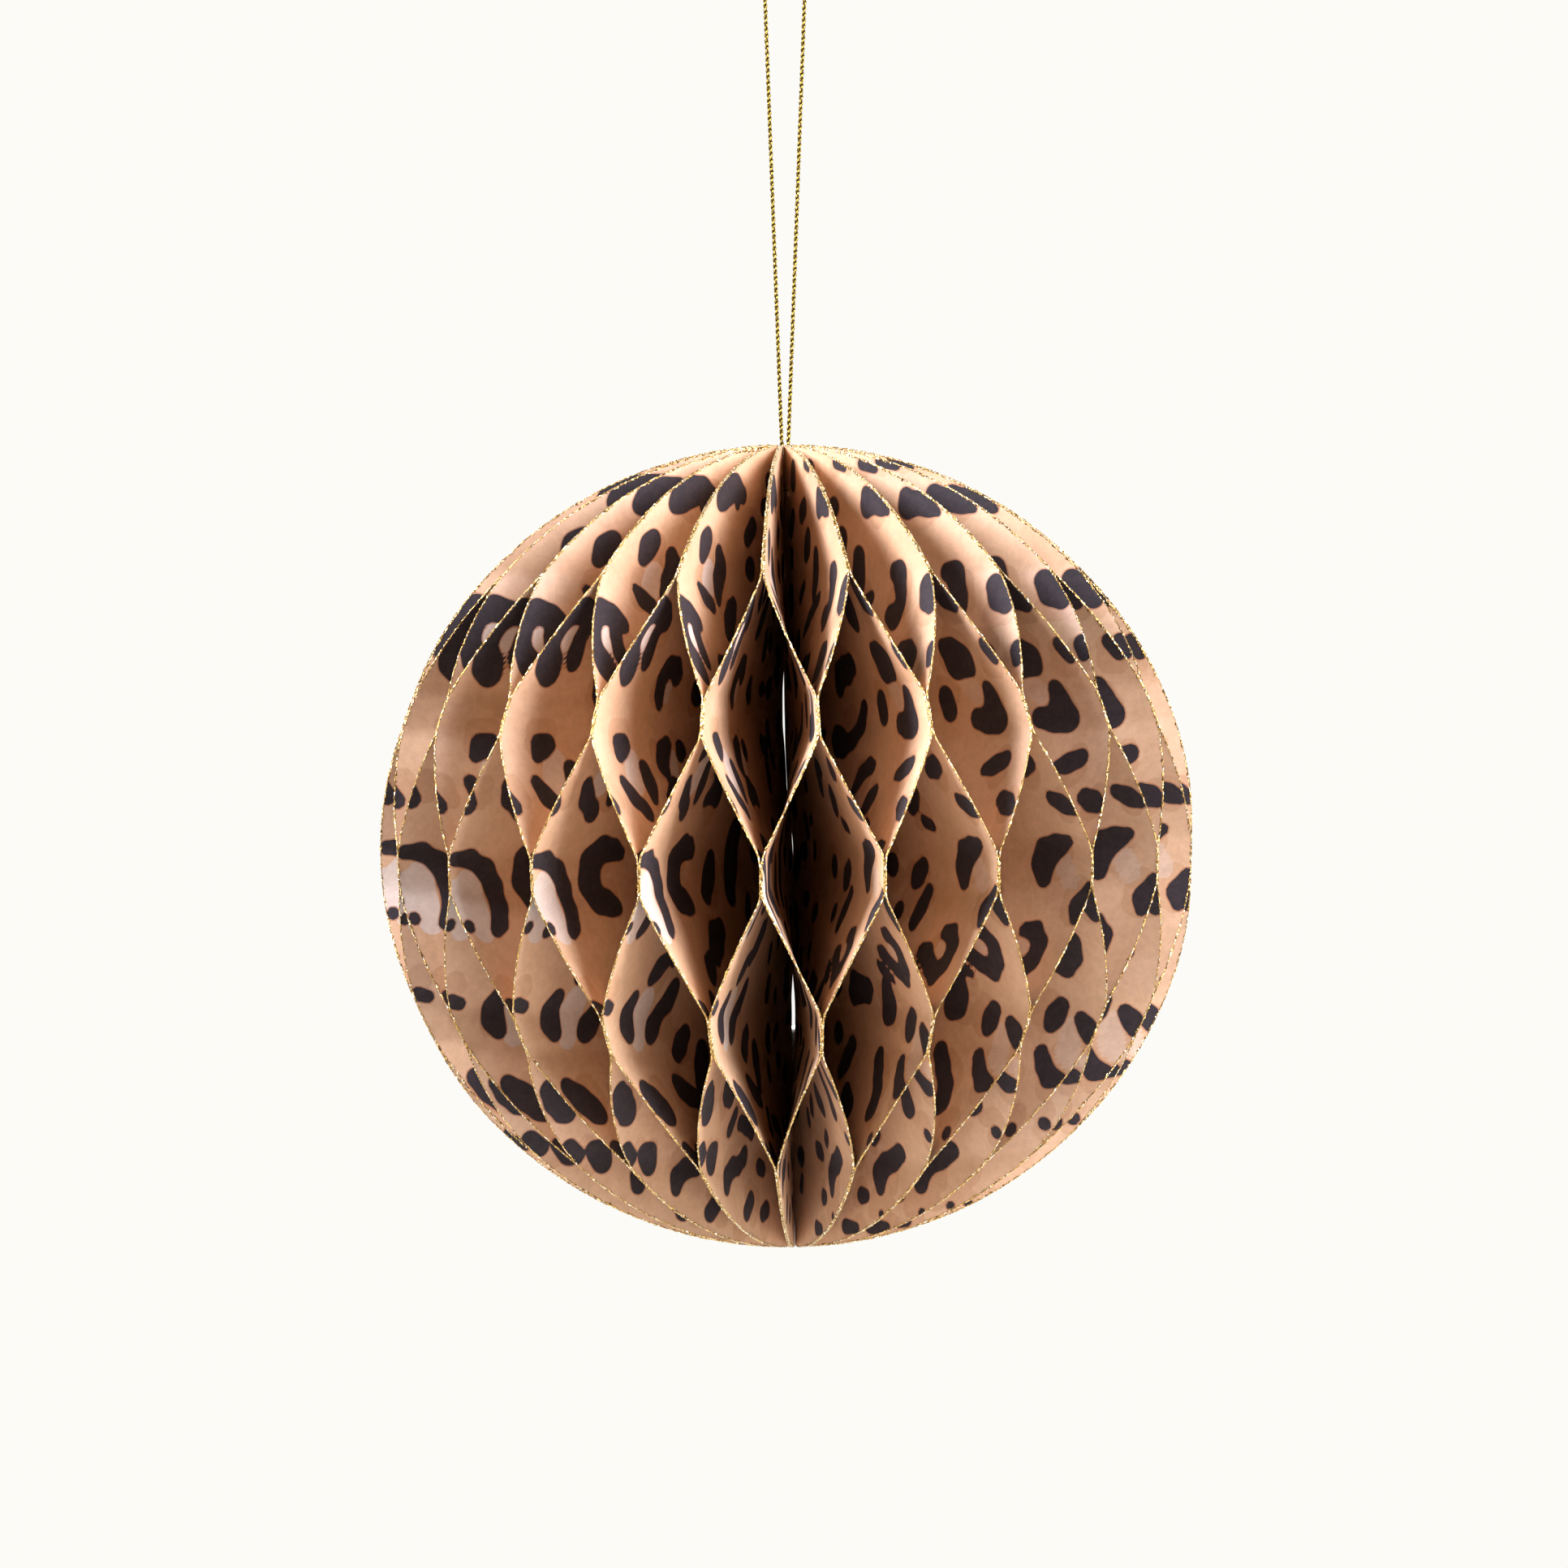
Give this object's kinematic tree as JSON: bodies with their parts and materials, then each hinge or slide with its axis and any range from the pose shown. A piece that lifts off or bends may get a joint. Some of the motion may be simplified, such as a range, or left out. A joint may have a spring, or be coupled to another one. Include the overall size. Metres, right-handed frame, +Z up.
{
  "type": "paper honeycomb ball",
  "caption": "Hanging paper honeycomb ball with glittered sheet edges, an animal-spot print, card covers held together by magnets, and a gold cord loop.",
  "frame": {"origin": "the hanging point, where a hook bears on the inside top of the cord loop", "axes": "+Z up along the ball's own axis, -Y towards the side with whole cells, +Y towards the seam between the two covers"},
  "size_m": [0.0997, 0.0999, 0.1621],
  "materials": {
    "printed_paper": "matte print with glittered rim",
    "printed_card": "matte print with glittered rim",
    "magnet": "bright nickel plate",
    "gold_cord": "twisted metallic yarn"
  },
  "bodies": {
    "left_end": {"left_cover": "printed_card", "upper_left_magnet": "magnet", "lower_left_magnet": "magnet", "hanging_cord": "gold_cord", "cord_knot": "gold_cord"},
    "leaf_01": {"sheet_01": "printed_paper"},
    "leaf_02": {"sheet_02": "printed_paper"},
    "leaf_03": {"sheet_03": "printed_paper"},
    "leaf_04": {"sheet_04": "printed_paper"},
    "leaf_05": {"sheet_05": "printed_paper"},
    "leaf_06": {"sheet_06": "printed_paper"},
    "leaf_07": {"sheet_07": "printed_paper"},
    "leaf_08": {"sheet_08": "printed_paper"},
    "leaf_09": {"sheet_09": "printed_paper"},
    "leaf_10": {"sheet_10": "printed_paper"},
    "leaf_11": {"sheet_11": "printed_paper"},
    "leaf_12": {"sheet_12": "printed_paper"},
    "leaf_13": {"sheet_13": "printed_paper"},
    "leaf_14": {"sheet_14": "printed_paper"},
    "leaf_15": {"sheet_15": "printed_paper"},
    "leaf_16": {"sheet_16": "printed_paper"},
    "leaf_17": {"sheet_17": "printed_paper"},
    "leaf_18": {"sheet_18": "printed_paper"},
    "leaf_19": {"sheet_19": "printed_paper"},
    "leaf_20": {"sheet_20": "printed_paper"},
    "leaf_21": {"sheet_21": "printed_paper"},
    "leaf_22": {"sheet_22": "printed_paper"},
    "leaf_23": {"sheet_23": "printed_paper"},
    "leaf_24": {"sheet_24": "printed_paper"},
    "leaf_25": {"sheet_25": "printed_paper"},
    "leaf_26": {"sheet_26": "printed_paper"},
    "leaf_27": {"sheet_27": "printed_paper"},
    "leaf_28": {"sheet_28": "printed_paper"},
    "leaf_29": {"sheet_29": "printed_paper"},
    "leaf_30": {"sheet_30": "printed_paper"},
    "leaf_31": {"sheet_31": "printed_paper"},
    "leaf_32": {"sheet_32": "printed_paper"},
    "leaf_33": {"sheet_33": "printed_paper"},
    "leaf_34": {"sheet_34": "printed_paper"},
    "leaf_35": {"sheet_35": "printed_paper"},
    "leaf_36": {"sheet_36": "printed_paper"},
    "leaf_37": {"sheet_37": "printed_paper"},
    "leaf_38": {"sheet_38": "printed_paper"},
    "leaf_39": {"sheet_39": "printed_paper"},
    "leaf_40": {"sheet_40": "printed_paper"},
    "leaf_41": {"sheet_41": "printed_paper"},
    "leaf_42": {"sheet_42": "printed_paper"},
    "right_end": {"sheet_43": "printed_paper", "right_cover": "printed_card", "upper_right_magnet": "magnet", "lower_right_magnet": "magnet"}
  },
  "joints": [
    {"name": "fold_01", "type": "hinge", "parent": "left_end", "child": "leaf_01", "pos_m": [-0.0016, 0.00174, -0.1123], "axis": [0, 0, 1], "range_deg": [-8.37, 0], "deforming": ["sheet_01", "hanging_cord"]},
    {"name": "fold_02", "type": "hinge", "parent": "leaf_01", "child": "leaf_02", "pos_m": [-0.00177, 0.0015, -0.1123], "axis": [0, 0, 1], "range_deg": [-8.37, 0], "deforming": ["sheet_02"]},
    {"name": "fold_03", "type": "hinge", "parent": "leaf_02", "child": "leaf_03", "pos_m": [-0.0019, 0.00125, -0.1123], "axis": [0, 0, 1], "range_deg": [-8.37, 0], "deforming": ["sheet_03"]},
    {"name": "fold_04", "type": "hinge", "parent": "leaf_03", "child": "leaf_04", "pos_m": [-0.002, 0.001, -0.1123], "axis": [0, 0, 1], "range_deg": [-8.37, 0], "deforming": ["sheet_04"]},
    {"name": "fold_05", "type": "hinge", "parent": "leaf_04", "child": "leaf_05", "pos_m": [-0.00207, 0.00074, -0.1123], "axis": [0, 0, 1], "range_deg": [-8.37, 0], "deforming": ["sheet_05"]},
    {"name": "fold_06", "type": "hinge", "parent": "leaf_05", "child": "leaf_06", "pos_m": [-0.00211, 0.00048, -0.1123], "axis": [0, 0, 1], "range_deg": [-8.37, 0], "deforming": ["sheet_06"]},
    {"name": "fold_07", "type": "hinge", "parent": "leaf_06", "child": "leaf_07", "pos_m": [-0.00211, 0.00022, -0.1123], "axis": [0, 0, 1], "range_deg": [-8.37, 0], "deforming": ["sheet_07"]},
    {"name": "fold_08", "type": "hinge", "parent": "leaf_07", "child": "leaf_08", "pos_m": [-0.00209, -0.00003, -0.1123], "axis": [0, 0, 1], "range_deg": [-8.37, 0], "deforming": ["sheet_08"]},
    {"name": "fold_09", "type": "hinge", "parent": "leaf_08", "child": "leaf_09", "pos_m": [-0.00204, -0.00026, -0.1123], "axis": [0, 0, 1], "range_deg": [-8.37, 0], "deforming": ["sheet_09"]},
    {"name": "fold_10", "type": "hinge", "parent": "leaf_09", "child": "leaf_10", "pos_m": [-0.00197, -0.00049, -0.1123], "axis": [0, 0, 1], "range_deg": [-8.37, 0], "deforming": ["sheet_10"]},
    {"name": "fold_11", "type": "hinge", "parent": "leaf_10", "child": "leaf_11", "pos_m": [-0.00187, -0.0007, -0.1123], "axis": [0, 0, 1], "range_deg": [-8.37, 0], "deforming": ["sheet_11"]},
    {"name": "fold_12", "type": "hinge", "parent": "leaf_11", "child": "leaf_12", "pos_m": [-0.00176, -0.0009, -0.1123], "axis": [0, 0, 1], "range_deg": [-8.37, 0], "deforming": ["sheet_12"]},
    {"name": "fold_13", "type": "hinge", "parent": "leaf_12", "child": "leaf_13", "pos_m": [-0.00163, -0.00108, -0.1123], "axis": [0, 0, 1], "range_deg": [-8.37, 0], "deforming": ["sheet_13"]},
    {"name": "fold_14", "type": "hinge", "parent": "leaf_13", "child": "leaf_14", "pos_m": [-0.00148, -0.00124, -0.1123], "axis": [0, 0, 1], "range_deg": [-8.37, 0], "deforming": ["sheet_14"]},
    {"name": "fold_15", "type": "hinge", "parent": "leaf_14", "child": "leaf_15", "pos_m": [-0.00132, -0.00138, -0.1123], "axis": [0, 0, 1], "range_deg": [-8.37, 0], "deforming": ["sheet_15"]},
    {"name": "fold_16", "type": "hinge", "parent": "leaf_15", "child": "leaf_16", "pos_m": [-0.00115, -0.00151, -0.1123], "axis": [0, 0, 1], "range_deg": [-8.37, 0], "deforming": ["sheet_16"]},
    {"name": "fold_17", "type": "hinge", "parent": "leaf_16", "child": "leaf_17", "pos_m": [-0.00097, -0.00161, -0.1123], "axis": [0, 0, 1], "range_deg": [-8.37, 0], "deforming": ["sheet_17"]},
    {"name": "fold_18", "type": "hinge", "parent": "leaf_17", "child": "leaf_18", "pos_m": [-0.00079, -0.00169, -0.1123], "axis": [0, 0, 1], "range_deg": [-8.37, 0], "deforming": ["sheet_18"]},
    {"name": "fold_19", "type": "hinge", "parent": "leaf_18", "child": "leaf_19", "pos_m": [-0.00059, -0.00176, -0.1123], "axis": [0, 0, 1], "range_deg": [-8.37, 0], "deforming": ["sheet_19"]},
    {"name": "fold_20", "type": "hinge", "parent": "leaf_19", "child": "leaf_20", "pos_m": [-0.0004, -0.00181, -0.1123], "axis": [0, 0, 1], "range_deg": [-8.37, 0], "deforming": ["sheet_20"]},
    {"name": "fold_21", "type": "hinge", "parent": "leaf_20", "child": "leaf_21", "pos_m": [-0.0002, -0.00184, -0.1123], "axis": [0, 0, 1], "range_deg": [-8.37, 0], "deforming": ["sheet_21"]},
    {"name": "fold_22", "type": "hinge", "parent": "leaf_21", "child": "leaf_22", "pos_m": [0, -0.00185, -0.1123], "axis": [0, 0, 1], "range_deg": [-8.37, 0], "deforming": ["sheet_22"]},
    {"name": "fold_23", "type": "hinge", "parent": "leaf_22", "child": "leaf_23", "pos_m": [0.0002, -0.00184, -0.1123], "axis": [0, 0, 1], "range_deg": [-8.37, 0], "deforming": ["sheet_23"]},
    {"name": "fold_24", "type": "hinge", "parent": "leaf_23", "child": "leaf_24", "pos_m": [0.0004, -0.00181, -0.1123], "axis": [0, 0, 1], "range_deg": [-8.37, 0], "deforming": ["sheet_24"]},
    {"name": "fold_25", "type": "hinge", "parent": "leaf_24", "child": "leaf_25", "pos_m": [0.00059, -0.00176, -0.1123], "axis": [0, 0, 1], "range_deg": [-8.37, 0], "deforming": ["sheet_25"]},
    {"name": "fold_26", "type": "hinge", "parent": "leaf_25", "child": "leaf_26", "pos_m": [0.00079, -0.00169, -0.1123], "axis": [0, 0, 1], "range_deg": [-8.37, 0], "deforming": ["sheet_26"]},
    {"name": "fold_27", "type": "hinge", "parent": "leaf_26", "child": "leaf_27", "pos_m": [0.00097, -0.00161, -0.1123], "axis": [0, 0, 1], "range_deg": [-8.37, 0], "deforming": ["sheet_27"]},
    {"name": "fold_28", "type": "hinge", "parent": "leaf_27", "child": "leaf_28", "pos_m": [0.00115, -0.00151, -0.1123], "axis": [0, 0, 1], "range_deg": [-8.37, 0], "deforming": ["sheet_28"]},
    {"name": "fold_29", "type": "hinge", "parent": "leaf_28", "child": "leaf_29", "pos_m": [0.00132, -0.00138, -0.1123], "axis": [0, 0, 1], "range_deg": [-8.37, 0], "deforming": ["sheet_29"]},
    {"name": "fold_30", "type": "hinge", "parent": "leaf_29", "child": "leaf_30", "pos_m": [0.00148, -0.00124, -0.1123], "axis": [0, 0, 1], "range_deg": [-8.37, 0], "deforming": ["sheet_30"]},
    {"name": "fold_31", "type": "hinge", "parent": "leaf_30", "child": "leaf_31", "pos_m": [0.00163, -0.00108, -0.1123], "axis": [0, 0, 1], "range_deg": [-8.37, 0], "deforming": ["sheet_31"]},
    {"name": "fold_32", "type": "hinge", "parent": "leaf_31", "child": "leaf_32", "pos_m": [0.00176, -0.0009, -0.1123], "axis": [0, 0, 1], "range_deg": [-8.37, 0], "deforming": ["sheet_32"]},
    {"name": "fold_33", "type": "hinge", "parent": "leaf_32", "child": "leaf_33", "pos_m": [0.00187, -0.0007, -0.1123], "axis": [0, 0, 1], "range_deg": [-8.37, 0], "deforming": ["sheet_33"]},
    {"name": "fold_34", "type": "hinge", "parent": "leaf_33", "child": "leaf_34", "pos_m": [0.00197, -0.00049, -0.1123], "axis": [0, 0, 1], "range_deg": [-8.37, 0], "deforming": ["sheet_34"]},
    {"name": "fold_35", "type": "hinge", "parent": "leaf_34", "child": "leaf_35", "pos_m": [0.00204, -0.00026, -0.1123], "axis": [0, 0, 1], "range_deg": [-8.37, 0], "deforming": ["sheet_35"]},
    {"name": "fold_36", "type": "hinge", "parent": "leaf_35", "child": "leaf_36", "pos_m": [0.00209, -0.00003, -0.1123], "axis": [0, 0, 1], "range_deg": [-8.37, 0], "deforming": ["sheet_36"]},
    {"name": "fold_37", "type": "hinge", "parent": "leaf_36", "child": "leaf_37", "pos_m": [0.00211, 0.00022, -0.1123], "axis": [0, 0, 1], "range_deg": [-8.37, 0], "deforming": ["sheet_37"]},
    {"name": "fold_38", "type": "hinge", "parent": "leaf_37", "child": "leaf_38", "pos_m": [0.00211, 0.00048, -0.1123], "axis": [0, 0, 1], "range_deg": [-8.37, 0], "deforming": ["sheet_38"]},
    {"name": "fold_39", "type": "hinge", "parent": "leaf_38", "child": "leaf_39", "pos_m": [0.00207, 0.00074, -0.1123], "axis": [0, 0, 1], "range_deg": [-8.37, 0], "deforming": ["sheet_39"]},
    {"name": "fold_40", "type": "hinge", "parent": "leaf_39", "child": "leaf_40", "pos_m": [0.002, 0.001, -0.1123], "axis": [0, 0, 1], "range_deg": [-8.37, 0], "deforming": ["sheet_40"]},
    {"name": "fold_41", "type": "hinge", "parent": "leaf_40", "child": "leaf_41", "pos_m": [0.0019, 0.00125, -0.1123], "axis": [0, 0, 1], "range_deg": [-8.37, 0], "deforming": ["sheet_41"]},
    {"name": "fold_42", "type": "hinge", "parent": "leaf_41", "child": "leaf_42", "pos_m": [0.00177, 0.0015, -0.1123], "axis": [0, 0, 1], "range_deg": [-8.37, 0], "deforming": ["sheet_42"]},
    {"name": "fold_43", "type": "hinge", "parent": "leaf_42", "child": "right_end", "pos_m": [0.0016, 0.00174, -0.1123], "axis": [0, 0, 1], "range_deg": [-8.37, 0], "deforming": ["sheet_43"]}
  ],
  "couplings": [
    {"joint": "fold_02", "follows": "fold_01", "ratio": 1},
    {"joint": "fold_03", "follows": "fold_01", "ratio": 1},
    {"joint": "fold_04", "follows": "fold_01", "ratio": 1},
    {"joint": "fold_05", "follows": "fold_01", "ratio": 1},
    {"joint": "fold_06", "follows": "fold_01", "ratio": 1},
    {"joint": "fold_07", "follows": "fold_01", "ratio": 1},
    {"joint": "fold_08", "follows": "fold_01", "ratio": 1},
    {"joint": "fold_09", "follows": "fold_01", "ratio": 1},
    {"joint": "fold_10", "follows": "fold_01", "ratio": 1},
    {"joint": "fold_11", "follows": "fold_01", "ratio": 1},
    {"joint": "fold_12", "follows": "fold_01", "ratio": 1},
    {"joint": "fold_13", "follows": "fold_01", "ratio": 1},
    {"joint": "fold_14", "follows": "fold_01", "ratio": 1},
    {"joint": "fold_15", "follows": "fold_01", "ratio": 1},
    {"joint": "fold_16", "follows": "fold_01", "ratio": 1},
    {"joint": "fold_17", "follows": "fold_01", "ratio": 1},
    {"joint": "fold_18", "follows": "fold_01", "ratio": 1},
    {"joint": "fold_19", "follows": "fold_01", "ratio": 1},
    {"joint": "fold_20", "follows": "fold_01", "ratio": 1},
    {"joint": "fold_21", "follows": "fold_01", "ratio": 1},
    {"joint": "fold_22", "follows": "fold_01", "ratio": 1},
    {"joint": "fold_23", "follows": "fold_01", "ratio": 1},
    {"joint": "fold_24", "follows": "fold_01", "ratio": 1},
    {"joint": "fold_25", "follows": "fold_01", "ratio": 1},
    {"joint": "fold_26", "follows": "fold_01", "ratio": 1},
    {"joint": "fold_27", "follows": "fold_01", "ratio": 1},
    {"joint": "fold_28", "follows": "fold_01", "ratio": 1},
    {"joint": "fold_29", "follows": "fold_01", "ratio": 1},
    {"joint": "fold_30", "follows": "fold_01", "ratio": 1},
    {"joint": "fold_31", "follows": "fold_01", "ratio": 1},
    {"joint": "fold_32", "follows": "fold_01", "ratio": 1},
    {"joint": "fold_33", "follows": "fold_01", "ratio": 1},
    {"joint": "fold_34", "follows": "fold_01", "ratio": 1},
    {"joint": "fold_35", "follows": "fold_01", "ratio": 1},
    {"joint": "fold_36", "follows": "fold_01", "ratio": 1},
    {"joint": "fold_37", "follows": "fold_01", "ratio": 1},
    {"joint": "fold_38", "follows": "fold_01", "ratio": 1},
    {"joint": "fold_39", "follows": "fold_01", "ratio": 1},
    {"joint": "fold_40", "follows": "fold_01", "ratio": 1},
    {"joint": "fold_41", "follows": "fold_01", "ratio": 1},
    {"joint": "fold_42", "follows": "fold_01", "ratio": 1},
    {"joint": "fold_43", "follows": "fold_01", "ratio": 1}
  ]
}
